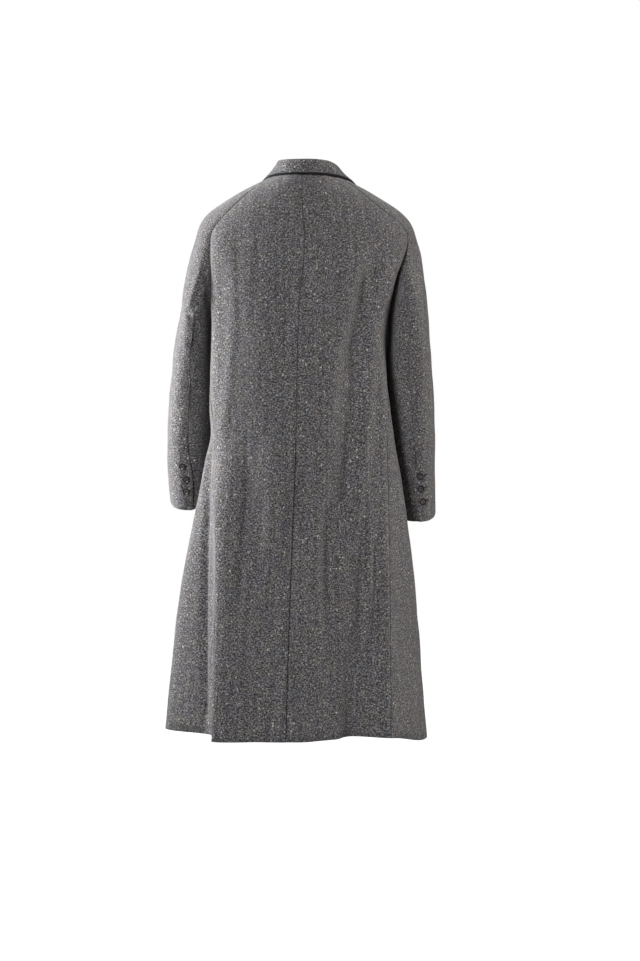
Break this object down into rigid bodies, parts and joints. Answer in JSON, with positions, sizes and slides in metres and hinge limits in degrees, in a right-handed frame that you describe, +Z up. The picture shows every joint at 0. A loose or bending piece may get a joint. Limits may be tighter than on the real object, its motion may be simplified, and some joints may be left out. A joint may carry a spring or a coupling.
{
  "type": "raglan overcoat",
  "caption": "Long tweed raglan overcoat in its worn, hollow form, with a turned-down collar, closed single-breasted front, centre vent and buttoned cuff vents.",
  "frame": {"origin": "middle of the neck opening, level with the top of the shoulders beside the neck, where the wearer's neck comes through", "axes": "+Z up, +Y out of the front of the coat, +X to the wearer's right"},
  "size_m": [0.5569, 0.3912, 1.1774],
  "materials": {
    "tweed": "salt and pepper wool tweed with light flecks",
    "felt": "black undercollar felt",
    "button": "dark horn look, softly polished"
  },
  "bodies": {
    "root": {"back_left": "tweed", "back_right": "tweed", "front_left": "tweed", "front_right": "tweed", "top_sleeve_left": "tweed", "top_sleeve_right": "tweed", "under_sleeve_left": "tweed", "under_sleeve_right": "tweed", "lapel_left": "tweed", "lapel_right": "tweed", "upper_collar": "tweed", "undercollar": "felt", "cuff_button_left_1": "button", "cuff_button_left_2": "button", "cuff_button_left_3": "button", "cuff_button_right_1": "button", "cuff_button_right_2": "button", "cuff_button_right_3": "button", "front_button_1": "button", "front_button_2": "button", "front_button_3": "button"}
  },
  "joints": []
}
